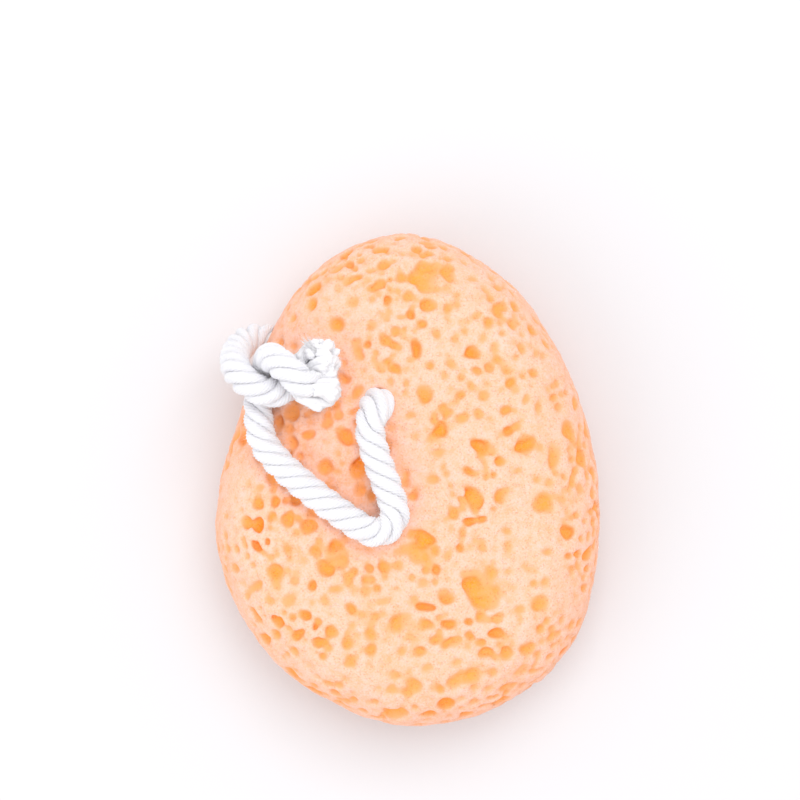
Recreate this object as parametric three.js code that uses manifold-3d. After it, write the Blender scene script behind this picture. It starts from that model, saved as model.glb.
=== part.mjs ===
// Egg-shaped foam bath sponge with a loop of laid cotton rope, lying on its back with the rope side up.
// Millimetres, +Z up. The origin is the centre of the sponge's footprint, on the surface that it lies on,
// and +Y points to the sponge's narrow end.
import * as THREE from "three";
import { mergeVertices } from "three/addons/utils/BufferGeometryUtils.js";
import Module from "manifold-3d";

// Sponge: the outline at its widest level, as a radius every 22.5 degrees, anticlockwise from +X.
const outlineRadii = [51.6, 51.4, 55, 61.5, 66.5, 62.5, 53.5, 48.8, 50.8, 55.4, 59, 63.5, 66.5, 66, 63, 55.7];
const edgeRadius = 20.5; // the sides are rounded off all round
const widestHeight = 20; // a little less than edgeRadius, so the underside is flat where it rests
const faceCrown = 3.5; // the front face swells this much above the rounded sides
const outlineSegments = 64;
const edgeSteps = 12;
const faceRings = 4;

// Rope: its centre line from the cut end below the knot, round the loop, to the cut end above it.
const ropeDiameter = 8;
const ropeSides = 12;
const ropeSteps = 80;
const ropeRoute = [
  // the lower cut end, and its turn over and under the other end in the knot
  [-18, 24, 46],
  [-22.5, 24, 48.6],
  [-26.5, 25.5, 51.7],
  [-30.3, 28.8, 52.6],
  [-34, 31.8, 49.8],
  [-36, 32.6, 45],
  [-36.9, 30.5, 40.9],
  [-38.1, 26, 39.2],
  // the left leg of the loop, down over the sponge's shoulder onto its face
  [-39.2, 21, 39.9],
  [-39, 15.5, 40.9],
  [-37.8, 10.5, 42.4],
  [-34, 5.5, 44.3],
  [-28.5, 0.5, 45.6],
  [-21.5, -5, 47],
  [-16.5, -8.6, 47.6],
  // the fold at the bottom
  [-12, -11.5, 48],
  [-8.3, -12.9, 48.1],
  [-4.8, -11.6, 48.2],
  [-3.2, -8, 48.3],
  [-4.2, -3.8, 48.3],
  // the right leg, up the face to the hole
  [-6, 1, 48.3],
  [-8, 6.5, 48.1],
  [-9.3, 11.5, 48],
  [-9.8, 14.2, 48.1],
  [-9.2, 17.5, 47.4],
  // through the sponge, slanting down to its left side
  [-8, 20.1, 44.2],
  [-7.6, 21.3, 39.3],
  [-10, 23.4, 33],
  [-17, 28.6, 26.8],
  [-25.5, 32.8, 21.8],
  [-33, 36.2, 19],
  // out of the side and up round the edge
  [-39, 38.4, 19.5],
  [-43.3, 37.5, 23.3],
  [-45.4, 34.7, 29.5],
  [-45.6, 31.8, 37],
  // over and under the first end in the knot, and the upper cut end
  [-44.3, 28.6, 44.1],
  [-40.5, 25.2, 47.2],
  [-36, 23.6, 46.9],
  [-31.6, 24.8, 45],
  [-28.6, 28, 43.9],
  [-25.7, 31.3, 45.3],
  [-22.3, 32.8, 47.2],
  [-17.8, 33.3, 48.2],
];

// Hole: the stretch of the route that it follows, with the foam standing clear of the rope.
const holeFirstPoint = 23;
const holeLastPoint = 32;
const holeSteps = 24;
const holeGap = 0.4;

const wasm = await Module();
wasm.setup();

// The radius of the outline in any direction, on a smooth closed curve through outlineRadii.
function outlineRadius(angle) {
  const count = outlineRadii.length;
  const along = (angle / (2 * Math.PI) + 1) * count;
  const first = Math.floor(along);
  const part = along - first;
  const [before, start, end, after] = [-1, 0, 1, 2].map((step) => outlineRadii[(first + step) % count]);
  return (
    start +
    0.5 *
      part *
      (end - before + part * (2 * before - 5 * start + 4 * end - after + part * (3 * (start - end) + after - before)))
  );
}

// The sponge's side view from the middle of its underside to the middle of its face. Each ring lies at
// share times the outline's radius inside the rounded edge, plus reach, at height.
function spongeRings() {
  const flatAngle = -Math.asin(widestHeight / edgeRadius);
  const rings = [{ share: 0, reach: 0, height: 0 }];
  for (let step = 0; step <= edgeSteps; step++) {
    const angle = flatAngle + (step / edgeSteps) * (Math.PI / 2 - flatAngle);
    rings.push({
      share: 1,
      reach: edgeRadius * Math.cos(angle),
      height: widestHeight + edgeRadius * Math.sin(angle),
    });
  }
  for (let ring = faceRings - 1; ring >= 0; ring--) {
    const share = ring / faceRings;
    rings.push({ share, reach: 0, height: widestHeight + edgeRadius + faceCrown * (1 - share ** 2) });
  }
  return rings;
}

// A body turned about +Z from those rings, then drawn in or out to the egg-shaped outline.
function spongeBlank() {
  const rings = spongeRings();
  const roundRadius = 60;
  const profile = rings.map(
    (ring) => new THREE.Vector2(ring.share * (roundRadius - edgeRadius) + ring.reach, ring.height),
  );
  const body = new THREE.LatheGeometry(profile, outlineSegments).rotateX(Math.PI / 2);
  const position = body.getAttribute("position");
  for (let i = 0; i < position.count; i++) {
    const ring = rings[i % rings.length];
    const angle = Math.atan2(position.getY(i), position.getX(i));
    const radius = ring.share * (outlineRadius(angle) - edgeRadius) + ring.reach;
    position.setXYZ(i, radius * Math.cos(angle), radius * Math.sin(angle), ring.height);
  }
  return body;
}

// A round bar along a smooth curve through the given points.
function ropeBar(points, diameter, steps) {
  const section = new THREE.Shape().absarc(0, 0, diameter / 2, 0, 2 * Math.PI);
  const extrudePath = new THREE.CatmullRomCurve3(points.map((point) => new THREE.Vector3(...point)));
  return new THREE.ExtrudeGeometry(section, { steps, curveSegments: ropeSides / 2, extrudePath });
}

function solidOf(geometry) {
  const bare = geometry.clone();
  bare.deleteAttribute("normal");
  bare.deleteAttribute("uv");
  const merged = mergeVertices(bare, 1e-3);
  const vertProperties = merged.getAttribute("position").array;
  const triVerts = new Uint32Array(merged.index.array);
  return new wasm.Manifold(new wasm.Mesh({ numProp: 3, vertProperties, triVerts }));
}

function geometryOf(solid) {
  const { vertProperties, triVerts } = solid.getMesh();
  const geometry = new THREE.BufferGeometry();
  geometry.setAttribute("position", new THREE.BufferAttribute(vertProperties, 3));
  geometry.setIndex(new THREE.BufferAttribute(triVerts, 1));
  geometry.computeVertexNormals();
  return geometry;
}

function makeSponge() {
  const holeRoute = ropeRoute.slice(holeFirstPoint, holeLastPoint + 1);
  const hole = ropeBar(holeRoute, ropeDiameter + 2 * holeGap, holeSteps);
  const foam = new THREE.MeshStandardMaterial({ color: 0xffcfa9, roughness: 0.95, metalness: 0 });
  const sponge = new THREE.Mesh(geometryOf(solidOf(spongeBlank()).subtract(solidOf(hole))), foam);
  sponge.name = "sponge";
  return sponge;
}

function makeRope() {
  const cotton = new THREE.MeshStandardMaterial({ color: 0xf6f4fa, roughness: 0.9, metalness: 0 });
  const rope = new THREE.Mesh(ropeBar(ropeRoute, ropeDiameter, ropeSteps), cotton);
  rope.name = "rope";
  return rope;
}

const group = new THREE.Group();
group.add(makeSponge(), makeRope());

export default group;
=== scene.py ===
"""An egg-shaped foam bath sponge with a knotted loop of laid cotton rope, lying rope side up."""
import math

import bpy
import numpy as np
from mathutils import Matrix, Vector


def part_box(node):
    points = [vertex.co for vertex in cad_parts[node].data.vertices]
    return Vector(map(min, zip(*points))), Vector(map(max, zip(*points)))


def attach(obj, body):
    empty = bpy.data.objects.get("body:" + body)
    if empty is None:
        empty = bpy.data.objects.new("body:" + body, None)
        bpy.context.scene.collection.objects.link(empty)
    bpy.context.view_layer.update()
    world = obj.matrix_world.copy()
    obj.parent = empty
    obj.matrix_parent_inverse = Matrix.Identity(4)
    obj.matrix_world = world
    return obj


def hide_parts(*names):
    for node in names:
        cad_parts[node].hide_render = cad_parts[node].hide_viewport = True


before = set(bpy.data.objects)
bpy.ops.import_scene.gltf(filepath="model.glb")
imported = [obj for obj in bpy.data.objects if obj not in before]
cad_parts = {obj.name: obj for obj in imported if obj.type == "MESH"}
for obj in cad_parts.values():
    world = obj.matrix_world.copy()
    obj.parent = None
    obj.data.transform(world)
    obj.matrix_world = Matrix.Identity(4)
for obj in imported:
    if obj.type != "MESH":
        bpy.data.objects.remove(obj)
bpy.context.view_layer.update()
rng = np.random.default_rng(12)

# Camera: straight above the face, as the photograph is taken, with the sponge's narrow end at the top.
# It stands far off behind a long lens, so hardly any of the rounded sides shows.
picture_width = 800  # pixels
pixels_per_metre = 3700  # at half the sponge's height
picture_centre = (-0.0019, 0.0216)
lens = 120  # millimetres, as the sensor is
sensor = 36

sponge_low, sponge_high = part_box("sponge")
camera_data = bpy.data.cameras.new("camera")
camera_data.lens = lens
camera_data.sensor_width = sensor
camera = bpy.data.objects.new("camera", camera_data)
camera_distance = picture_width * lens / sensor / pixels_per_metre
camera.location = (*picture_centre, sponge_high.z / 2 + camera_distance)
bpy.context.scene.collection.objects.link(camera)
bpy.context.scene.camera = camera

# Rope: one length of soft white cotton rope, four strands laid left-handed, each of yarns twisted the
# other way. It goes through the sponge, and its two ends are twisted round each other above the edge in
# a loose knot, which leaves a loop to hang the sponge by. The cut ends are left to fray.
rope_diameter = 0.008
strand_count = 4
strand_radius = 0.00156
strand_offset = 0.00242  # from the rope's centre line to a strand's
lay_length = 0.0178  # along the rope in one turn of a strand
yarns = 9  # seen round a strand
yarn_turn = -0.0135  # along the strand in one turn of a yarn, against the lay
yarn_relief = 0.07  # of the strand's radius
strand_waves = 0.035  # of the strand's radius, thicker and thinner along it
wave_lengths = (0.0031, 0.0047)
ring_spacing = 0.0005
ring_sides = 36
curve_steps = 24  # between two points of a route
fray_length = 0.0180
fray_untwist = 0.7  # less turn at the cut end
fray_spread = 0.9  # more offset at the cut end
spread_range = (0.75, 1.15)  # times that, from strand to strand
fray_swell = 0.5  # more radius at the cut end
swell_range = (0.8, 1.15)  # times that, from strand to strand
fray_lumps = 0.16  # of the strand's radius at the cut end
lump_lengths = (0.0009, 0.0006)
strand_tip = 0.01  # of a strand's section, left at its rounded tip
cut_back = (15, 19)  # how many rings short of the cut end the strands open into yarns
mouth_swell = 0.16  # the strands open this much where the rope bends over into its hole
mouth_span = 0.0045
rope_route = [
    # the lower cut end, and its turn over and under the other end in the knot
    (-0.0180, 0.0240, 0.0460),
    (-0.0225, 0.0240, 0.0486),
    (-0.0265, 0.0255, 0.0517),
    (-0.0303, 0.0288, 0.0526),
    (-0.0340, 0.0318, 0.0498),
    (-0.0360, 0.0326, 0.0450),
    (-0.0369, 0.0305, 0.0409),
    (-0.0381, 0.0260, 0.0392),
    # the left leg of the loop, down over the sponge's shoulder onto its face
    (-0.0392, 0.0210, 0.0399),
    (-0.0390, 0.0155, 0.0409),
    (-0.0378, 0.0105, 0.0424),
    (-0.0340, 0.0055, 0.0443),
    (-0.0285, 0.0005, 0.0456),
    (-0.0215, -0.0050, 0.0470),
    (-0.0165, -0.0086, 0.0476),
    # the fold at the bottom
    (-0.0120, -0.0115, 0.0480),
    (-0.0083, -0.0129, 0.0481),
    (-0.0048, -0.0116, 0.0482),
    (-0.0032, -0.0080, 0.0483),
    (-0.0042, -0.0038, 0.0483),
    # the right leg, up the face to the hole
    (-0.0060, 0.0010, 0.0483),
    (-0.0080, 0.0065, 0.0481),
    (-0.0093, 0.0115, 0.0480),
    (-0.0098, 0.0142, 0.0481),
    (-0.0092, 0.0175, 0.0474),
    # through the sponge, slanting down to its left side
    (-0.0080, 0.0201, 0.0442),
    (-0.0076, 0.0213, 0.0393),
    (-0.0100, 0.0234, 0.0330),
    (-0.0170, 0.0286, 0.0268),
    (-0.0255, 0.0328, 0.0218),
    (-0.0330, 0.0362, 0.0190),
    # out of the side and up round the edge
    (-0.0390, 0.0384, 0.0195),
    (-0.0433, 0.0375, 0.0233),
    (-0.0454, 0.0347, 0.0295),
    (-0.0456, 0.0318, 0.0370),
    # over and under the first end in the knot, and the upper cut end
    (-0.0443, 0.0286, 0.0441),
    (-0.0405, 0.0252, 0.0472),
    (-0.0360, 0.0236, 0.0469),
    (-0.0316, 0.0248, 0.0450),
    (-0.0286, 0.0280, 0.0439),
    (-0.0257, 0.0313, 0.0453),
    (-0.0223, 0.0328, 0.0472),
    (-0.0178, 0.0333, 0.0482),
]
hole_mouth = 25  # the route's first point inside the sponge
hole_end = 31  # the route's first point outside it again


def unit(vectors):
    """The vectors at a length of one."""
    return vectors / np.linalg.norm(vectors, axis=-1, keepdims=True)


def smooth_line(route, spacing):
    """Points an even spacing apart on the smooth curve through a route's points."""
    route = np.array(route)
    posts = np.vstack([2 * route[0] - route[1], route, 2 * route[-1] - route[-2]])
    gaps = np.sqrt(np.linalg.norm(np.diff(posts, axis=0), axis=1))
    times = np.concatenate([[0], np.cumsum(gaps)])
    line = []
    for first in range(len(route) - 1):
        before, start, end, after = posts[first : first + 4]
        t0, t1, t2, t3 = times[first : first + 4]
        for t in np.linspace(t1, t2, curve_steps, endpoint=False):
            coming = ((t1 - t) * before + (t - t0) * start) / (t1 - t0)
            middle = ((t2 - t) * start + (t - t1) * end) / (t2 - t1)
            going = ((t3 - t) * end + (t - t2) * after) / (t3 - t2)
            coming = ((t2 - t) * coming + (t - t0) * middle) / (t2 - t0)
            going = ((t3 - t) * middle + (t - t1) * going) / (t3 - t1)
            line.append(((t2 - t) * coming + (t - t1) * going) / (t2 - t1))
    line = np.array([*line, route[-1]])
    reached = np.concatenate([[0], np.cumsum(np.linalg.norm(np.diff(line, axis=0), axis=1))])
    even = np.linspace(0, reached[-1], round(reached[-1] / spacing) + 1)
    return np.stack([np.interp(even, reached, line[:, axis]) for axis in range(3)], axis=1), even


def carried_frame(line):
    """A line's direction at each point, and two directions square to it that turn no more than they must."""
    lean = (0.3, 0.2, 1.0)  # no line starts along it
    along = unit(np.gradient(line, axis=0))
    side = [unit(np.cross(along[0], lean))]
    for direction in along[1:]:
        side.append(unit(side[-1] - direction * (side[-1] @ direction)))
    side = np.array(side)
    return along, side, np.cross(along, side)


def add_mesh(name, points, faces):
    """A new smooth-shaded mesh object."""
    mesh = bpy.data.meshes.new(name)
    mesh.from_pydata(points.tolist(), [], faces)
    mesh.shade_smooth()
    made = bpy.data.objects.new(name, mesh)
    bpy.context.scene.collection.objects.link(made)
    return made


def skin_rings(ring_count, sides):
    """The faces of a closed tube whose points are ring_count rings of so many sides."""
    ring, corner = np.mgrid[: ring_count - 1, :sides]
    beside = (corner + 1) % sides
    walls = [ring * sides + corner, ring * sides + beside]
    walls += [(ring + 1) * sides + beside, (ring + 1) * sides + corner]
    last = (ring_count - 1) * sides
    caps = [list(range(sides))[::-1], list(range(last, last + sides))]
    return np.stack(walls, axis=-1).reshape(-1, 4).tolist() + caps


def add_tubes(name, tubes):
    """A new mesh object of closed tubes, each given as its rings of points."""
    faces = []
    start = 0
    for rings in tubes:
        faces += [[start + corner for corner in face] for face in skin_rings(*rings.shape[:2])]
        start += rings.shape[0] * rings.shape[1]
    return add_mesh(name, np.concatenate([rings.reshape(-1, 3) for rings in tubes]), faces)


rope_line, rope_reached = smooth_line(rope_route, ring_spacing)
rope_length = rope_reached[-1]
rope_along, rope_side, rope_up = carried_frame(rope_line)
to_cut_end = np.minimum(rope_reached, rope_length - rope_reached)
fray = np.clip(1 - to_cut_end / fray_length, 0, 1) ** 2
lay_angle = -2 * math.pi * np.cumsum((1 - fray_untwist * fray) * ring_spacing / lay_length)
mouth = np.argmin(np.linalg.norm(rope_line - rope_route[hole_mouth], axis=1))
opened = 1 + mouth_swell * np.exp(-(((rope_reached - rope_reached[mouth]) / mouth_span) ** 2))


def make_strand(number):
    """One strand as rings of points, which turn with its yarns, the directions that they and the rope's
    outside face there, and the strand's own direction."""
    angle = lay_angle + 2 * math.pi * number / strand_count
    spread = 1 + fray * fray_spread * rng.uniform(*spread_range)
    outward = np.cos(angle)[:, None] * rope_side + np.sin(angle)[:, None] * rope_up
    centre = rope_line + (strand_offset * spread * opened)[:, None] * outward
    cut = rng.integers(*cut_back, 2)
    kept = slice(cut[0], len(centre) - cut[1])
    centre, outward, swell = centre[kept], outward[kept], fray[kept]
    along = unit(np.gradient(centre, axis=0))
    across = unit(np.cross(along, outward))
    outward = np.cross(across, along)
    reached = np.concatenate([[0], np.cumsum(np.linalg.norm(np.diff(centre, axis=0), axis=1))])
    radius = strand_radius * opened[kept] * (1 + fray_swell * swell * rng.uniform(*swell_range))
    waves = np.sin(reached / wave_lengths[0] + number)
    radius *= 1 + strand_waves * waves * np.sin(reached / wave_lengths[1] + 2 * number)
    from_tip = np.minimum(np.minimum(reached, reached[-1] - reached) / radius, 1)
    radius *= np.sqrt(np.maximum(1 - (1 - from_tip) ** 2, strand_tip))
    corner = np.linspace(0, 2 * math.pi, ring_sides, endpoint=False)
    reached = reached[:, None]
    turn = corner + 2 * math.pi * reached / yarn_turn
    lumps = np.sin(3 * turn + reached / lump_lengths[0]) * np.sin(2 * turn - reached / lump_lengths[1])
    lumps = fray_lumps * swell[:, None] * lumps
    radius = radius[:, None] * (1 + yarn_relief * np.cos(yarns * corner) + lumps)
    facing = np.cos(turn)[..., None] * outward[:, None] + np.sin(turn)[..., None] * across[:, None]
    return centre[:, None] + radius[..., None] * facing, facing, outward, along


strands = [make_strand(number) for number in range(strand_count)]
rope = add_tubes("laid_rope", [strand[0] for strand in strands])


class Value:
    """A shader socket that Python's operators work on, each adding a node."""

    def __init__(self, tree, socket):
        self.tree = tree
        self.socket = socket

    def node(self, kind, settings, sockets, output=0):
        """Adds a node of a kind, sets it up, feeds its sockets and gives one of its outputs."""
        made = self.tree.nodes.new("ShaderNode" + kind)
        for name, setting in settings.items():
            if name == "stops":
                while len(made.color_ramp.elements) < len(setting):
                    made.color_ramp.elements.new(1)
                for element, (place, colour) in zip(made.color_ramp.elements, setting):
                    element.position = place
                    element.color = (*colour, 1)
            else:
                setattr(made, name, setting)
        for name, fed in sockets.items():
            if isinstance(fed, Value):
                self.tree.links.new(fed.socket, made.inputs[name])
            else:
                made.inputs[name].default_value = fed
        return Value(self.tree, made.outputs[output])

    def feed(self, shader, name):
        """Links this value to a socket of a shader."""
        self.tree.links.new(self.socket, shader.inputs[name])

    def maths(self, operation, first, second, clamp=False):
        """An operation on two values or numbers."""
        return self.node("Math", {"operation": operation, "use_clamp": clamp}, {0: first, 1: second})

    def clamped(self):
        """This value kept from 0 to 1."""
        return self.maths("ADD", self, 0.0, clamp=True)

    def tinted(self, start, end):
        """The colour start where this value is 0 and end where it is 1."""
        start, end = [colour if isinstance(colour, Value) else (*colour, 1) for colour in (start, end)]
        return self.node("Mix", {"data_type": "RGBA"}, {0: self, 6: start, 7: end}, 2)

    def noise(self, scale, detail=2.0):
        """Soft noise over this place, with about scale lumps to the metre."""
        return self.node("TexNoise", {}, {"Vector": self, "Scale": scale, "Detail": detail})

    def cells(self, scale, feature="F1", output="Distance"):
        """Cells over this place, about scale to the metre: how far their middles are, or their colours."""
        return self.node("TexVoronoi", {"feature": feature}, {"Vector": self, "Scale": scale}, output)

    def bumped(self, strength, depth):
        """The normal of a surface with this value as its relief, depth metres high."""
        return self.node("Bump", {}, {"Strength": strength, "Distance": depth, "Height": self})

    def __add__(self, other):
        return self.maths("ADD", self, other)

    def __sub__(self, other):
        return self.maths("SUBTRACT", self, other)

    def __rsub__(self, other):
        return self.maths("SUBTRACT", other, self)

    def __mul__(self, other):
        return self.maths("MULTIPLY", self, other)

    def __truediv__(self, other):
        return self.maths("DIVIDE", self, other)


def new_material(name, fixed):
    """A material with its shader's fixed sockets set, its shader, and the place on the object as a value."""
    material = bpy.data.materials.new(name)
    material.use_nodes = True
    shader = material.node_tree.nodes["Principled BSDF"]
    for socket, value in fixed.items():
        shader.inputs[socket].default_value = value
    place = material.node_tree.nodes.new("ShaderNodeTexCoord").outputs["Object"]
    return material, shader, Value(material.node_tree, place)


cotton_light = (0.83, 0.825, 0.855)
cotton_shade = (0.78, 0.775, 0.815)
cotton_patch_scale = 260.0  # to the metre
cotton_nap_scale = 2600.0
cotton_shade_level = 0.75
cotton_contrast = 1.6
cotton_bump_strength = 0.5
cotton_bump_depth = 0.0002
cotton, cotton_shader, cotton_place = new_material(
    "cotton",
    {
        "Roughness": 0.92,
        "Specular IOR Level": 0.2,
        "Sheen Weight": 0.2,
        "Sheen Roughness": 0.6,
        "Subsurface Weight": 0.4,
        "Subsurface Radius": (0.0010, 0.0010, 0.0011),
        "Subsurface Scale": 1.0,
    },
)
cotton_patches = cotton_place.noise(cotton_patch_scale, detail=3.0)
cotton_nap = cotton_place.noise(cotton_nap_scale, detail=4.0)
cotton_lit = ((cotton_patches + cotton_nap - cotton_shade_level) * cotton_contrast).clamped()
cotton_lit.tinted(cotton_shade, cotton_light).feed(cotton_shader, "Base Color")
cotton_nap.bumped(cotton_bump_strength, cotton_bump_depth).feed(cotton_shader, "Normal")
rope.data.materials.append(cotton)

# Frayed ends and nap: each strand opens at the rope's two cut ends into its yarns, which make a puffed
# tuft, with one yarn come loose, and fine fibres stand off all the spun cotton. They are the rope's own
# yarns and fibres, so nothing fixes them.
tuft_yarns = 16  # from each strand
tuft_yarn_radius = 0.00095
yarn_root_share = 0.8  # of that radius, at the yarn's root
yarn_puff = 0.5  # of that radius, more at its tip
yarn_cap = 0.2  # of its length, rounded off at its tip
yarn_tip = 0.02  # of its section, left at its tip
yarn_roughness = 0.05  # of its radius
root_scatter = 0.6  # of the strand's radius
strand_reach = 0.0008  # how far one strand's yarns end before or behind another's
yarn_reach = 0.0005  # and one yarn before or behind another
inmost_yarn = 0.02  # of the tuft's area, left free round its middle
tuft_radius = 0.0056  # from the rope's centre line to the outermost yarn's end
tuft_dome = 0.0030  # how much further the middle yarns reach than the outermost
core_yarns = 24  # more of them in the middle of each tuft
core_share = 0.8  # of the tuft's radius that they fill
brush_count = 30  # fine fibres on the end of each yarn
brush_length = (0.0005, 0.0015)
brush_thickness = 0.00006
tuft_joints = 14
tuft_sides = 10
nap_count = 5200
nap_length = (0.0006, 0.0016)
nap_thickness = 0.00005
nap_curl = 1.5  # radians, as the other curls are
fluff_count = 14  # for each opened yarn
fluff_length = (0.0005, 0.0013)
fluff_thickness = 0.00007
fluff_scatter = 0.6
fluff_curl = 3.5
brush_scatter = 0.7
brush_curl = 2.5
loose_yarn_root = (-0.0238, 0.0342, 0.0505)
loose_yarn_tip = (-0.0276, 0.0376, 0.0512)
loose_yarn_radius = 0.0005
loose_yarn_count = 60
loose_yarn_scatter = 0.12
loose_yarn_ends = (0.6, 1.1)  # of its length, where its fibres end
loose_yarn_curl = 0.8
brush_rng = np.random.default_rng(5)
fibre_joints = 5
fibre_sides = 3
fibre_taper = (0.5, 0.15)  # of a fibre's thickness, its radius at root and tip
straightest = 0.2  # of the curl
fibre_white = (0.90, 0.895, 0.915)
fibre_shade = (0.84, 0.835, 0.86)
fibre_shade_scale = 900.0  # to the metre

loose_cotton, loose_shader, loose_place = new_material(
    "loose_cotton", {"Roughness": 1.0, "Specular IOR Level": 0.1}
)
loose_shade = loose_place.noise(fibre_shade_scale)
loose_shade.tinted(fibre_shade, fibre_white).feed(loose_shader, "Base Color")


def make_fibres(name, roots, directions, lengths, thickness, curl, source):
    """Fine hairs from their roots, each a thin tapered tube bent to an arc of up to curl radians."""
    count = len(roots)
    bend = source.normal(size=(count, 3))
    bend = unit(bend - directions * np.sum(bend * directions, axis=1, keepdims=True))
    arc = source.uniform(straightest, 1, (count, 1, 1)) * curl
    angle = arc * np.linspace(0, 1, fibre_joints)[None, :, None]
    reach = np.sin(angle) * directions[:, None] + (1 - np.cos(angle)) * bend[:, None]
    joints = roots[:, None] + lengths[:, None, None] / arc * reach
    along = unit(np.gradient(joints, axis=1))
    side = np.cross(directions, bend)[:, None]
    up = np.cross(along, side)
    turn = np.linspace(0, 2 * math.pi, fibre_sides, endpoint=False)[:, None]
    around = np.cos(turn) * side[:, :, None] + np.sin(turn) * up[:, :, None]
    taper = np.linspace(*fibre_taper, fibre_joints)[None, :, None, None] * thickness
    made = add_tubes(name, joints[:, :, None] + taper * around)
    made.data.materials.append(loose_cotton)
    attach(made, "root")
    return made


def make_yarn(root, forward, tip, source):
    """A yarn that leaves its strand forward, bends to its tip and puffs out on the way, as rings of points
    and the directions that they face."""
    share = np.linspace(0, 1, tuft_joints)[:, None]
    bend = root + forward * np.linalg.norm(tip - root) / 2
    line = (1 - share) ** 2 * root + 2 * share * (1 - share) * bend + share**2 * tip
    side, up = carried_frame(line)[1:]
    corner = np.linspace(0, 2 * math.pi, tuft_sides, endpoint=False)[:, None]
    facing = np.cos(corner) * side[:, None] + np.sin(corner) * up[:, None]
    rounded = np.sqrt(1 + yarn_tip - np.maximum(share / yarn_cap - (1 / yarn_cap - 1), 0) ** 2)
    radius = tuft_yarn_radius * (yarn_root_share + yarn_puff * share) * rounded
    radius = radius * source.normal(1, yarn_roughness, (tuft_joints, tuft_sides))
    return line[:, None] + radius[..., None] * facing, facing


tufts = []
for rings, facing, outward, along in strands:
    for end, sign in ((0, -1), (-1, 1)):
        forward = sign * rope_along[end]
        across = np.cross(forward, outward[end])
        reach = rng.uniform(-strand_reach, strand_reach)
        for yarn in range(tuft_yarns):
            scatter = rng.uniform(-root_scatter, root_scatter, 3)
            root = rings[end].mean(axis=0) + strand_radius * (scatter - sign * along[end])
            share = math.sqrt(rng.uniform(inmost_yarn, 1))
            turn = rng.uniform(-1, 1) * math.pi / strand_count
            aside = math.cos(turn) * outward[end] + math.sin(turn) * across
            tip = rope_line[end] + share * tuft_radius * aside
            tip = tip + forward * (reach + rng.uniform(-yarn_reach, yarn_reach) - tuft_dome * share**2)
            tufts.append(make_yarn(root, sign * along[end], tip, rng))
cores = []
for end, start, sign in ((0, cut_back[1], -1), (-1, -1 - cut_back[1], 1)):
    forward = sign * rope_along[end]
    for yarn in range(core_yarns):
        share = math.sqrt(brush_rng.random())
        turn = 2 * math.pi * brush_rng.random()
        aside = math.cos(turn) * rope_side[end] + math.sin(turn) * rope_up[end]
        root = rope_line[start] + share * strand_offset * aside
        tip = rope_line[end] + share * core_share * tuft_radius * aside
        reach = brush_rng.uniform(-yarn_reach, yarn_reach)
        tip = tip + forward * (reach - tuft_dome * (core_share * share) ** 2)
        cores.append(make_yarn(root, forward, tip, brush_rng))
tuft = add_tubes("rope_end_tufts", [yarn[0] for yarn in tufts + cores])
tuft.data.materials.append(loose_cotton)
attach(tuft, "root")


def pick_roots(opened_yarns, first_ring, count, scatter, source):
    """Places for fibres on opened yarns, from a ring on to the tip, and the directions they stand off in."""
    roots, directions = [], []
    for rings, facing in opened_yarns:
        ring = source.integers(first_ring, tuft_joints, count)
        corner = source.integers(0, tuft_sides, count)
        roots.append(rings[ring, corner])
        directions.append(facing[ring, corner] + scatter * source.normal(size=(count, 3)))
    return np.concatenate(roots), unit(np.concatenate(directions))


nap_roots, nap_directions = [], []
for rings, facing, outward, along in strands:
    ring = rng.integers(0, len(rings), nap_count // strand_count)
    corner = rng.integers(0, ring_sides, len(ring))
    shown = np.sum(facing[ring, corner] * outward[ring], axis=1) > 0
    ring, corner = ring[shown], corner[shown]
    nap_roots.append(rings[ring, corner])
    nap_directions.append(facing[ring, corner] + rng.uniform(-1, 1, (len(ring), 1)) * along[ring])
fluff_places = pick_roots(tufts, tuft_joints // 3, fluff_count, fluff_scatter, rng)
nap_places = np.concatenate(nap_roots), unit(np.concatenate(nap_directions))
nap_lengths = rng.uniform(*nap_length, len(nap_places[0]))
nap = make_fibres("rope_nap", *nap_places, nap_lengths, nap_thickness, nap_curl, rng)
fluff_lengths = rng.uniform(*fluff_length, len(fluff_places[0]))
fluff = make_fibres("rope_end_fluff", *fluff_places, fluff_lengths, fluff_thickness, fluff_curl, rng)
brush_places = pick_roots(tufts + cores, tuft_joints // 2, brush_count, brush_scatter, brush_rng)
brush_lengths = brush_rng.uniform(*brush_length, len(brush_places[0]))
brush = make_fibres("rope_end_brush", *brush_places, brush_lengths, brush_thickness, brush_curl, brush_rng)
yarn_span = np.subtract(loose_yarn_tip, loose_yarn_root)
yarn_roots = loose_yarn_root + loose_yarn_radius * rng.normal(size=(loose_yarn_count, 3)) / 2
yarn_directions = unit(unit(yarn_span) + loose_yarn_scatter * rng.normal(size=(loose_yarn_count, 3)))
yarn_lengths = np.linalg.norm(yarn_span) * rng.uniform(*loose_yarn_ends, loose_yarn_count)
yarn_places = yarn_roots, yarn_directions
loose_yarn_thickness = 2 * fluff_thickness
loose_yarn = make_fibres(
    "rope_loose_yarn", *yarn_places, yarn_lengths, loose_yarn_thickness, loose_yarn_curl, rng
)

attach(rope, "root")
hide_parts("rope")

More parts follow.
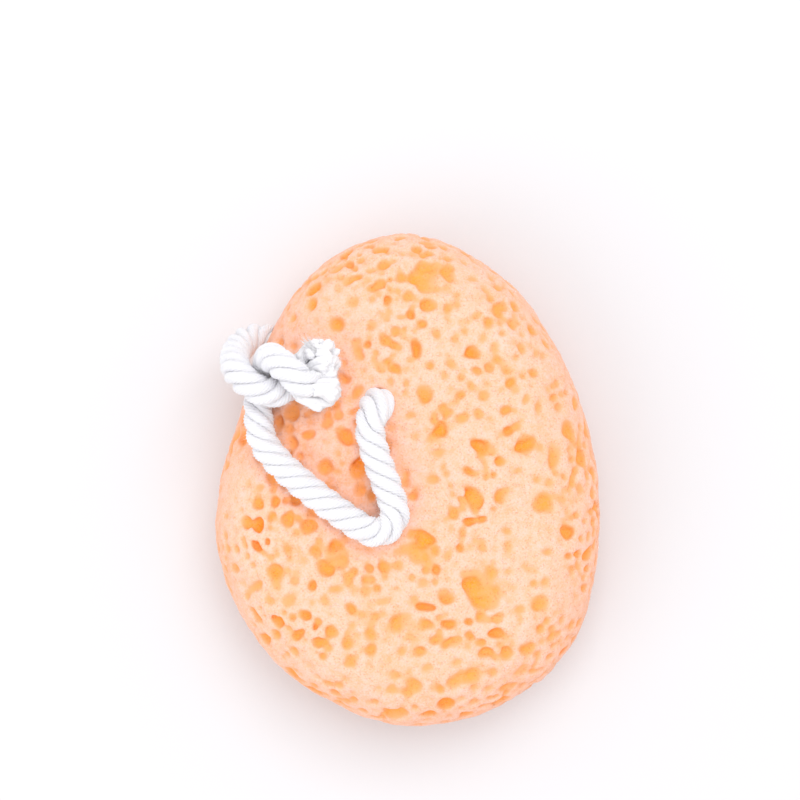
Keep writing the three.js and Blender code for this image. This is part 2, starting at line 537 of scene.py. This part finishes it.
# Sponge: a soft block of peach foam with large open bubbles, in the look of a sea sponge. It is cut to an
# egg outline with rounded sides, so the cut opens bubbles all over it. A hole is pushed through it, where
# it grips the rope.
outline_radii = [
    *(0.0516, 0.0514, 0.0550, 0.0615, 0.0665, 0.0625, 0.0535, 0.0488),
    *(0.0508, 0.0554, 0.0590, 0.0635, 0.0665, 0.0660, 0.0630, 0.0557),
]  # at equal angles, anticlockwise from +X
edge_radius = 0.0205
widest_height = 0.020
face_crown = 0.0035
height_steps = 200  # in which the face's height is found
cell = 0.00055  # of the grid that the foam is worked out on
skin_waves = [(0.0005, 0.010), (0.0003, 0.005), (0.0002, 0.0024)]  # heights and lengths on the uneven skin
wobble = 0.0009  # how far the bubbles are pulled out of round
long_wobble = 0.0042  # wavelengths of that pull
short_wobble = 0.0019
furthest_pull = 3 * wobble
rim = 0.0008  # rounding of the bubbles' rims
sponge_triangles = 190_000
skin_share = 0.7  # how far depths count from the uneven skin and not from the plain body
hole_grip = 0.0002  # how far the rope presses into the foam round it
hole_radius = rope_diameter / 2 - hole_grip
film_facing = 0.55  # films are burst along an axis where the skin faces it this squarely
# The plain bubbles of the face: centre x and y, width and height of the opening, and depth for its size.
face_bubbles = [
    (-0.0355, -0.0250, 0.0045, 0.0060, 0.8),
    (-0.0320, -0.0310, 0.0035, 0.0035, 0.6),
    (-0.0405, -0.0355, 0.0042, 0.0042, 0.6),
    (-0.0345, -0.0370, 0.0040, 0.0040, 0.5),
    (-0.0430, -0.0115, 0.0037, 0.0037, 0.5),
    (-0.0394, -0.0120, 0.0037, 0.0036, 0.8),
    (-0.0305, -0.0100, 0.0037, 0.0037, 0.6),
    (-0.0255, -0.0120, 0.0040, 0.0040, 0.7),
    (-0.0405, -0.0160, 0.0037, 0.0037, 0.5),
    (-0.0190, -0.0165, 0.0040, 0.0040, 1.0),
    (-0.0220, -0.0225, 0.0045, 0.0045, 1.0),
    (-0.0180, -0.0210, 0.0035, 0.0035, 1.3),
    (-0.0250, -0.0180, 0.0032, 0.0032, 0.8),
    (-0.0275, -0.0210, 0.0032, 0.0032, 0.4),
    (-0.0165, -0.0255, 0.0037, 0.0037, 0.4),
    (-0.0110, -0.0285, 0.0032, 0.0032, 0.6),
    (-0.0145, -0.0330, 0.0037, 0.0037, 0.9),
    (-0.0060, -0.0320, 0.0045, 0.0032, 0.7),
    (-0.0025, -0.0225, 0.0032, 0.0032, 1.2),
    (-0.0020, -0.0190, 0.0030, 0.0030, 0.6),
    (-0.0065, -0.0225, 0.0035, 0.0035, 0.5),
    (-0.0160, -0.0425, 0.0032, 0.0032, 0.7),
    (-0.0100, -0.0435, 0.0027, 0.0027, 0.6),
    (-0.0305, -0.0455, 0.0032, 0.0032, 0.7),
    (-0.0150, -0.0480, 0.0032, 0.0032, 0.8),
    (-0.0170, -0.0520, 0.0025, 0.0025, 0.6),
    (-0.0035, -0.0510, 0.0060, 0.0032, 0.5),
    (-0.0035, -0.0555, 0.0037, 0.0037, 0.7),
    (-0.0025, -0.0375, 0.0052, 0.0040, 0.6),
    (0.0055, -0.0155, 0.0060, 0.0047, 0.9),
    (0.0025, -0.0195, 0.0040, 0.0040, 0.7),
    (0.0105, -0.0195, 0.0025, 0.0025, 0.6),
    (0.0190, -0.0180, 0.0022, 0.0022, 0.6),
    (0.0165, -0.0275, 0.0047, 0.0060, 0.8),
    (0.0215, -0.0240, 0.0032, 0.0032, 0.7),
    (0.0205, -0.0280, 0.0022, 0.0022, 0.6),
    (0.0045, -0.0265, 0.0025, 0.0025, 0.5),
    (0.0045, -0.0320, 0.0045, 0.0022, 1.2),
    (0.0105, -0.0375, 0.0045, 0.0030, 0.8),
    (0.0155, -0.0370, 0.0022, 0.0022, 1.2),
    (0.0230, -0.0400, 0.0037, 0.0030, 1.1),
    (0.0235, -0.0355, 0.0030, 0.0030, 0.5),
    (0.0355, -0.0320, 0.0057, 0.0047, 0.6),
    (0.0345, -0.0390, 0.0025, 0.0032, 0.8),
    (0.0385, -0.0420, 0.0035, 0.0020, 0.7),
    (0.0415, -0.0375, 0.0030, 0.0030, 0.5),
    (0.0465, -0.0340, 0.0030, 0.0030, 0.5),
    (0.0075, -0.0415, 0.0035, 0.0022, 0.7),
    (0.0160, -0.0435, 0.0022, 0.0022, 0.4),
    (0.0200, -0.0453, 0.0030, 0.0028, 0.8),
    (0.0170, -0.0520, 0.0045, 0.0032, 0.8),
    (0.0120, -0.0540, 0.0030, 0.0030, 0.7),
    (0.0025, -0.0535, 0.0030, 0.0030, 0.7),
    (0.0180, -0.0590, 0.0040, 0.0032, 0.4),
    (-0.0075, 0.0615, 0.0045, 0.0037, 0.6),
    (0.0040, 0.0575, 0.0035, 0.0035, 0.6),
    (0.0045, 0.0545, 0.0025, 0.0025, 0.6),
    (0.0055, 0.0515, 0.0037, 0.0030, 0.7),
    (-0.0190, 0.0415, 0.0045, 0.0037, 0.9),
    (-0.0100, 0.0415, 0.0040, 0.0035, 0.8),
    (-0.0245, 0.0425, 0.0025, 0.0025, 0.7),
    (-0.0045, 0.0450, 0.0020, 0.0020, 0.7),
    (-0.0070, 0.0520, 0.0030, 0.0030, 0.5),
    (-0.0155, 0.0530, 0.0030, 0.0030, 0.5),
    (-0.0345, 0.0370, 0.0037, 0.0037, 0.6),
    (0.0025, 0.0355, 0.0022, 0.0047, 1.2),
    (-0.0135, 0.0235, 0.0035, 0.0035, 0.7),
    (-0.0095, 0.0265, 0.0017, 0.0030, 0.8),
    (0.0240, 0.0060, 0.0047, 0.0040, 0.6),
    (0.0150, 0.0170, 0.0035, 0.0035, 0.6),
    (0.0135, 0.0230, 0.0027, 0.0027, 0.6),
    (0.0340, 0.0285, 0.0035, 0.0035, 0.6),
    (0.0350, 0.0190, 0.0027, 0.0040, 0.6),
    (0.0395, 0.0075, 0.0042, 0.0075, 0.4),
    (0.0080, 0.0080, 0.0040, 0.0025, 0.6),
    (0.0065, 0.0005, 0.0035, 0.0035, 0.6),
    (-0.0134, 0.0045, 0.0045, 0.0068, 0.7),
    (-0.0125, -0.0020, 0.0035, 0.0032, 0.8),
    (-0.0095, -0.0035, 0.0028, 0.0038, 0.9),
    (-0.0310, 0.0185, 0.0040, 0.0048, 0.5),
    (-0.0340, 0.0160, 0.0028, 0.0045, 0.6),
    (-0.0262, 0.0125, 0.0055, 0.0024, 0.6),
    (-0.0168, 0.0278, 0.0035, 0.0035, 0.7),
    (-0.0215, -0.0320, 0.0030, 0.0040, 0.6),
    (-0.0240, -0.0430, 0.0028, 0.0028, 0.7),
    (-0.0205, -0.0395, 0.0030, 0.0038, 0.6),
]
# Broad hollows where several bubbles were cut through: centre x and y, width and height.
face_hollows = [
    (-0.0194, -0.0189, 0.0130, 0.0080),
    (0.0039, -0.0176, 0.0100, 0.0075),
    (0.0193, -0.0268, 0.0090, 0.0110),
    (0.0354, -0.0329, 0.0042, 0.0038),
    (0.0005, -0.0390, 0.0125, 0.0085),
    (-0.0119, -0.0353, 0.0075, 0.0080),
    (0.0048, 0.0545, 0.0060, 0.0085),
    (-0.0016, -0.0533, 0.0100, 0.0070),
    (0.0153, -0.0527, 0.0100, 0.0065),
]
hollow_depth = 0.0009
hollow_share = 0.65  # of its width and height, a hollow's half sizes across
hollow_bubbles = 6
hollow_radii = (0.0009, 0.0018)  # of those bubbles
sunk_share = 0.3  # of a face bubble's depth, how far its middle lies below the face
bubble_growth = 1.08  # of the first bubble in a cluster
bubble_stretch = (0.8, 1.2)  # of a random bubble, along each of its axes
bubble_flats = 9  # where others pressed against a bubble
flat_reach = (0.5, 0.95)  # of the bubble's radius, from its middle
flat_lean = -0.2  # a flat that faces further outward than this is moved to the other side
flat_rounding = 0.25  # of the bubble's smallest half size
lobe_counts = (1, 4)  # at least, and one more than the most
lobe_shares = (0.45, 0.75)  # of the bubble's size
lobe_reach = 1.05  # from the bubble's middle, for a lobe of no size
lobe_overlap = 0.6  # nearer by this much of the lobe's share
window_least = 0.0019  # the smallest bubble with a window in its wall
window_scatter = 0.6
window_place = 0.85  # of the bubble's half sizes, from its middle
window_shares = (0.3, 0.45)  # of the bubble's smallest half size
places_tried = 9000  # for each kind of other bubbles
# Other bubbles: the range of their radii, how far apart they are, and, in radii, how deep their middles lie.
other_bubbles = [
    ((0.0013, 0.0026), 0.0072, (-0.4, 0.2)),
    ((0.0009, 0.0015), 0.0034, (-0.65, 0.1)),
    ((0.0006, 0.0010), 0.0018, (-0.55, 0.1)),
]


def outline_radius(angle):
    """The outline's radius in any direction, on a smooth closed curve through outline_radii."""
    radii = np.array(outline_radii)
    place = (angle / (2 * math.pi) * len(radii)) % len(radii)
    first = place.astype(int)
    part = place - first
    before, start, end, after = [radii[(first + step) % len(radii)] for step in (-1, 0, 1, 2)]
    bend = 3 * (start - end) + after - before
    bend = 2 * before - 5 * start + 4 * end - after + part * bend
    return start + part / 2 * (end - before + part * bend)


def body_distance(x, y, z):
    """How far places are outside the plain egg-shaped body, less than 0 inside it."""
    from_axis = np.hypot(x, y)
    flat_radius = outline_radius(np.arctan2(y, x)) - edge_radius
    side = np.hypot(np.maximum(from_axis - flat_radius, 0), z - widest_height) - edge_radius
    top = widest_height + edge_radius + face_crown * (1 - np.minimum(from_axis / flat_radius, 1) ** 2)
    middle = np.where(z > widest_height, z - top, -z)
    return np.maximum(np.where(from_axis > flat_radius, side, middle), -z)


def spline_weights(coordinates, wavelength):
    """How much each point of a lattice counts at each coordinate, on a smooth curve through the lattice."""
    place = (coordinates - coordinates[0]) / wavelength
    first = place.astype(int)
    part = place - first
    weights = np.zeros((len(coordinates), first[-1] + 4))
    row = np.arange(len(coordinates))
    weights[row, first] = (1 - part) ** 3 / 6
    weights[row, first + 1] = (3 * part**3 - 6 * part**2 + 4) / 6
    weights[row, first + 2] = (-3 * part**3 + 3 * part**2 + 3 * part + 1) / 6
    weights[row, first + 3] = part**3 / 6
    return weights.astype(np.float32)


def soft_noise(wavelength):
    """A smooth random field over the grid, mostly from -1 to 1."""
    weights = [spline_weights(axis, wavelength) for axis in grid_axes]
    lattice = rng.uniform(-2, 2, [len(weight[0]) for weight in weights]).astype(np.float32)
    return np.einsum("xa,yb,zc,abc->xyz", *weights, lattice, optimize=True)


def smooth_greater(first, second, rounding):
    """The greater of two distances, rounded off where they meet."""
    near = np.maximum(rounding - np.abs(first - second), 0)
    return np.maximum(first, second) + near**2 / (4 * rounding)


margin = 4 * cell
grid_axes = []
for low, high in zip(sponge_low, sponge_high):
    grid_axes.append(np.arange(low - margin, high + margin, cell, dtype=np.float32))
grid_start = np.array([axis[0] for axis in grid_axes])
grid_x, grid_y, grid_z = np.meshgrid(*grid_axes, indexing="ij")
plain_body = body_distance(grid_x, grid_y, grid_z).astype(np.float32)
unevenness = sum(height * soft_noise(length) for height, length in skin_waves)
foam = plain_body + unevenness
foam = np.maximum(foam, -grid_z)
pulled = []
for grid in (grid_x, grid_y, grid_z):
    pulled.append(grid + wobble * soft_noise(long_wobble) + wobble / 2 * soft_noise(short_wobble))


def carve(centre, inward, half_sizes):
    """Cuts a bubble out of the foam, with two half sizes across and one inward. It is egg-shaped but has
    flats where others pressed against it from inside."""
    reach = half_sizes.max() + furthest_pull
    first = np.maximum(((centre - reach - grid_start) / cell).astype(int), 0)
    last = ((centre + reach - grid_start) / cell).astype(int) + 2
    near = tuple(slice(a, b) for a, b in zip(first, last))
    offsets = [axis[near] - middle for axis, middle in zip(pulled, centre)]
    depth = sum(offset * share for offset, share in zip(offsets, inward))
    depths = [depth * share for share in inward]
    aside = [offset - part for offset, part in zip(offsets, depths)]
    across = (*half_sizes[:2], half_sizes[:2].mean())
    axes = list(zip(aside, depths, across))
    scaled = np.sqrt(sum((side / half + part / half_sizes[2]) ** 2 for side, part, half in axes))
    steep = np.sqrt(sum((side / half**2 + part / half_sizes[2] ** 2) ** 2 for side, part, half in axes))
    bubble = scaled * (scaled - 1) / np.maximum(steep, 1e-6)  # never divided by 0
    flats = unit(rng.normal(size=(bubble_flats, 3)))
    flats[flats @ inward < flat_lean] *= -1
    for flat in flats / half_sizes:
        beyond = sum(offset * slope for offset, slope in zip(offsets, flat)) - rng.uniform(*flat_reach)
        bubble = smooth_greater(bubble, beyond / np.linalg.norm(flat), flat_rounding * half_sizes.min())
    foam[near] = smooth_greater(foam[near], -bubble, rim)


def carve_cluster(centre, inward, half_sizes):
    """Cuts a bubble with the smaller ones that it ran into beside it, and a window to another below."""
    carve(centre, inward, bubble_growth * half_sizes)
    for lobe in range(rng.integers(*lobe_counts)):
        sideways = rng.normal(size=3)
        sideways = unit(sideways - inward * (sideways @ inward))
        share = rng.uniform(*lobe_shares)
        beside = centre + sideways * half_sizes * (lobe_reach - lobe_overlap * share)
        carve(beside, inward, share * half_sizes)
    if half_sizes.min() > window_least:
        below = unit(inward + window_scatter * rng.normal(size=3))
        radius = rng.uniform(*window_shares) * half_sizes.min()
        carve(centre + below * half_sizes * window_place, inward, radius * np.ones(3))


def face_height(x, y):
    """The height of the plain body's face."""
    column = np.linspace(widest_height, sponge_high.z, height_steps)
    outside = body_distance(np.full(height_steps, x), np.full(height_steps, y), column)
    return float(np.interp(0, outside, column))


def face_inward(x, y):
    """The direction square into the plain body's face."""
    around = np.array([x, y, face_height(x, y)])[:, None] + cell * np.hstack([np.eye(3), -np.eye(3)])
    rises = body_distance(*around)
    return unit(rises[3:] - rises[:3])


for x, y, width, height in face_hollows:
    inward = face_inward(x, y)
    centre = np.array([x, y, face_height(x, y)]) - inward * hollow_depth
    carve(centre, inward, np.array([hollow_share * width, hollow_share * height, 2 * hollow_depth]))
    for bubble in range(hollow_bubbles):
        turn, share = 2 * math.pi * rng.random(), math.sqrt(rng.random()) / 2
        centre = np.array([x + share * width * math.cos(turn), y + share * height * math.sin(turn), 0])
        centre[2] = face_height(*centre[:2]) - hollow_depth / 2
        carve(centre, inward, rng.uniform(*hollow_radii) * rng.uniform(*bubble_stretch, 3))
taken = []
for x, y, width, height, deep in face_bubbles:
    radius = (width + height) / 4
    depth = radius * deep
    inward = face_inward(x, y)
    opening = np.array([x, y, face_height(x, y)])
    carve_cluster(opening + inward * sunk_share * depth, inward, np.array([width / 2, height / 2, depth]))
    taken.append((*opening, radius))
hole_line = smooth_line(rope_route[hole_mouth - 2 : hole_end + 2], cell)[0]
taken = np.vstack([taken, np.hstack([hole_line, np.full((len(hole_line), 1), hole_radius)])])
surface_cells = np.argwhere(np.abs(plain_body) < cell / 2)
for (least, most), apart, (shallowest, deepest) in other_bubbles:
    for place in rng.permutation(surface_cells)[:places_tried]:
        centre = grid_start + cell * place
        gaps = np.linalg.norm(taken[:, :3] - centre, axis=1) - taken[:, 3]
        if gaps.min() > apart / 2:
            radius = least + (most - least) * rng.random() ** 2
            inward = unit((0, 0, widest_height) - centre)
            taken = np.vstack([taken, [*centre, radius]])
            centre = centre + inward * radius * rng.uniform(shallowest, deepest)
            carve_cluster(centre, inward, radius * rng.uniform(*bubble_stretch, 3))

for centre in hole_line:
    reach = hole_radius + rim
    first = ((centre - reach - grid_start) / cell).astype(int)
    near = tuple(slice(a, b) for a, b in zip(np.maximum(first, 0), first + int(2 * reach / cell) + 3))
    offsets = [axis[near] - middle for axis, middle in zip((grid_x, grid_y, grid_z), centre)]
    from_line = np.sqrt(sum(offset**2 for offset in offsets))
    foam[near] = np.maximum(foam[near], hole_radius - from_line)

# The foam is softened a little, so that nothing finer than a cell is left of it. Where a film only one
# cell thick parts a bubble from the open air, the film bursts.
for axis in range(3):
    foam = foam / 2 + (np.roll(foam, 1, axis) + np.roll(foam, -1, axis)) / 4
for axis, slope in enumerate(np.gradient(plain_body, cell)):
    beside = np.minimum(np.roll(foam, 1, axis), np.roll(foam, -1, axis))
    foam = np.where(np.abs(slope) > film_facing, np.maximum(foam, beside), foam)


def net_surface(field):
    """The surface where a field over the grid is 0: a point in each cell it passes, and four-sided faces."""
    steps = np.array([(0, 0), (-1, 0), (-1, -1), (0, -1)])  # to the four cells round an edge of the grid
    cells = [size - 1 for size in field.shape]
    strides = np.array([cells[1] * cells[2], cells[2], 1])
    inside = field < 0
    crossing_sum = np.zeros((cells[0] * cells[1] * cells[2], 3), np.float32)
    crossing_count = np.zeros(len(crossing_sum), np.float32)
    faces = []
    for axis in range(3):
        across = [other for other in range(3) if other != axis]
        start = [slice(None)] * 3
        end = [slice(None)] * 3
        start[axis], end[axis] = slice(None, -1), slice(1, None)
        places = np.argwhere(inside[tuple(start)] != inside[tuple(end)])
        places = places[np.all(places[:, across] > 0, axis=1)]
        places = places[np.all(places[:, across] < np.array(cells)[across], axis=1)]
        beyond = places.copy()
        beyond[:, axis] += 1
        near, far = field[tuple(places.T)], field[tuple(beyond.T)]
        crossing = places.astype(np.float32)
        crossing[:, axis] += near / (near - far)
        home = places @ strides
        corners = [home + step @ strides[across] for step in steps]
        for corner in corners:
            for column in range(3):
                crossing_sum[:, column] += np.bincount(corner, crossing[:, column], len(crossing_sum))
            crossing_count += np.bincount(corner, minlength=len(crossing_sum))
        quads = np.stack(corners, axis=1)
        turned = (near < 0) != (axis == 1)
        quads[~turned] = quads[~turned, ::-1]
        faces.append(quads)
    used = np.flatnonzero(crossing_count)
    number = np.zeros(len(crossing_sum), int)
    number[used] = np.arange(len(used))
    points = crossing_sum[used] / crossing_count[used, None] * cell + grid_start
    return points, number[np.concatenate(faces)]


foam_points, foam_faces = net_surface(foam)
dense = add_mesh("sponge_dense", foam_points, foam_faces.tolist())
thinning = dense.modifiers.new("thinning", "DECIMATE")
thinning.ratio = sponge_triangles / (2 * len(foam_faces))
sponge_mesh = bpy.data.meshes.new_from_object(dense.evaluated_get(bpy.context.evaluated_depsgraph_get()))
bpy.data.objects.remove(dense)
sponge_mesh.name = "sponge"
sponge_mesh.shade_smooth()
sponge = bpy.data.objects.new("sponge_foam", sponge_mesh)
bpy.context.scene.collection.objects.link(sponge)
sponge_points = np.zeros(3 * len(sponge_mesh.vertices), np.float32)
sponge_mesh.vertices.foreach_get("co", sponge_points)
sponge_points = sponge_points.reshape(-1, 3)
# Each point's depth below the skin, which the foam material turns into painted shade deepening into the
# bubbles.
sponge_cells = np.rint((sponge_points - grid_start) / cell).astype(int)
skin_rise = -skin_share * unevenness[tuple(sponge_cells.T)]
bubble_depth = skin_rise - body_distance(*sponge_points.T).astype(np.float32)
sponge_mesh.attributes.new("bubble_depth", "FLOAT", "POINT").data.foreach_set("value", bubble_depth)

# Foam colours: the pale and skin peaches are the foam's own. The shallow, middle and deep oranges are
# painted shade, darker and warmer with depth below the skin where the bubbles' hollows lie in shade. The
# shallow orange is also the foam's random warm tint.
foam_pale = (0.96, 0.595, 0.50)
foam_skin = (0.95, 0.545, 0.395)
foam_warm_tint_and_shallow_shade = (0.96, 0.435, 0.215)
foam_middle_shade = (0.98, 0.395, 0.115)
foam_deep_shade = (0.99, 0.40, 0.045)
depth_range = 0.004
foam_depth_shade_stops = [(0.04, foam_skin), (0.14, foam_warm_tint_and_shallow_shade), (0.29, foam_middle_shade), (0.7, foam_deep_shade)]
skin_fade = 6  # the skin's paleness is gone at one part in this of the depth range
patch_scale = 90.0  # to the metre, as the other scales are
spot_scale = 240.0
mottle_scale = 420.0
pit_scale = 1500.0
grain_scale = 1900.0
noise_middle = 0.5
spot_size = 0.36
spot_patches = 0.4  # spots show where the patches are over this
largest_pit = 0.5
edge_contrast = 5  # of spots and pits
cloud_contrast = 3
mottle_contrast = 1.6
grain_contrast = 2.5
pale_contrast = 4
spot_tint = 0.3
cloud_tint = 0.3
pit_tint = 0.15
grain_relief = 0.6
foam_bump_strength = 0.6
foam_bump_depth = 0.0003
foam_material, foam_shader, foam_place = new_material(
    "peach_foam", {"Roughness": 0.95, "Specular IOR Level": 0.1}
)
foam_depth = foam_place.node("Attribute", {"attribute_name": "bubble_depth"}, {}, "Fac") / depth_range
on_skin = (1 - foam_depth * skin_fade).clamped()
foam_patches = foam_place.noise(patch_scale, detail=4.0)
foam_mottle = foam_place.noise(mottle_scale, detail=5.0)
foam_grain = foam_place.noise(grain_scale, detail=3.0)
foam_spots = foam_place.cells(spot_scale, "SMOOTH_F1")
foam_pits = foam_place.cells(pit_scale)
pit_size = foam_place.cells(pit_scale, output="Color") * largest_pit
in_patches = ((foam_patches - spot_patches) * edge_contrast).clamped()
spot_strength = ((spot_size - foam_spots) * edge_contrast).clamped() * in_patches
pit_depth = ((pit_size - foam_pits) * edge_contrast).clamped()
foam_clouds = ((foam_patches - noise_middle) * cloud_contrast).clamped()
warm_clouds = (spot_strength * spot_tint + foam_clouds * cloud_tint).clamped()
warm_mottle = ((foam_mottle - noise_middle) * mottle_contrast).clamped()
pale_mottle = ((noise_middle - foam_mottle) * pale_contrast).clamped() * on_skin
warm_grain = (pit_depth * pit_tint + (foam_grain - noise_middle) * grain_contrast).clamped()
pale_grain = ((noise_middle - foam_grain) * pale_contrast).clamped() * on_skin
# Painted shade: the colour ramp darkens the foam to deeper orange with depth below the skin, and the skin's
# pale flecks fade out with it.
foam_colour = foam_depth.node("ValToRGB", {"stops": foam_depth_shade_stops}, {"Fac": foam_depth})
foam_colour = warm_clouds.tinted(foam_colour, foam_warm_tint_and_shallow_shade)
foam_colour = warm_mottle.tinted(foam_colour, foam_warm_tint_and_shallow_shade)
foam_colour = pale_mottle.tinted(foam_colour, foam_pale)
foam_colour = warm_grain.tinted(foam_colour, foam_warm_tint_and_shallow_shade)
foam_colour = pale_grain.tinted(foam_colour, foam_pale)
foam_colour.feed(foam_shader, "Base Color")
foam_relief = foam_grain * grain_relief - pit_depth - spot_strength
foam_relief.bumped(foam_bump_strength, foam_bump_depth).feed(foam_shader, "Normal")
sponge_mesh.materials.clear()
sponge_mesh.materials.append(foam_material)
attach(sponge, "root")
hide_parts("sponge")

# Floor and light: a plain pale floor under a white studio, with one broad soft light from the upper right
# of the picture and a weaker one from the lower left. They are not part of the object.
floor_size = 4.0
floor_colour = (0.76, 0.755, 0.78)
key_place = (0.15, 0.42, 1.05)
key_size = 0.7
key_power = 4.6
fill_place = (-0.8, -0.6, 0.8)
fill_size = 1.0
fill_power = 3.4
sky_strength = 0.95

corners = np.array([(-1, -1, 0), (1, -1, 0), (1, 1, 0), (-1, 1, 0)]) * floor_size / 2
floor = add_mesh("floor", corners, [[0, 1, 2, 3]])
floor_material, floor_shader = new_material("pale_floor", {"Roughness": 0.8, "Specular IOR Level": 0.2})[:2]
floor_shader.inputs["Base Color"].default_value = (*floor_colour, 1)
floor.data.materials.append(floor_material)


def add_softbox(name, place, size, power):
    """A square soft light that faces the sponge."""
    light = bpy.data.lights.new(name, "AREA")
    light.size = size
    light.energy = power
    made = bpy.data.objects.new(name, light)
    made.location = place
    made.rotation_euler = (-made.location).to_track_quat("-Z", "Y").to_euler()
    bpy.context.scene.collection.objects.link(made)


add_softbox("key_light", key_place, key_size, key_power)
add_softbox("fill_light", fill_place, fill_size, fill_power)
world = bpy.data.worlds.new("studio")
world.use_nodes = True
world.node_tree.nodes["Background"].inputs["Color"].default_value = (1, 1, 1, 1)
world.node_tree.nodes["Background"].inputs["Strength"].default_value = sky_strength
bpy.context.scene.world = world
bpy.context.scene.view_settings.view_transform = "Standard"
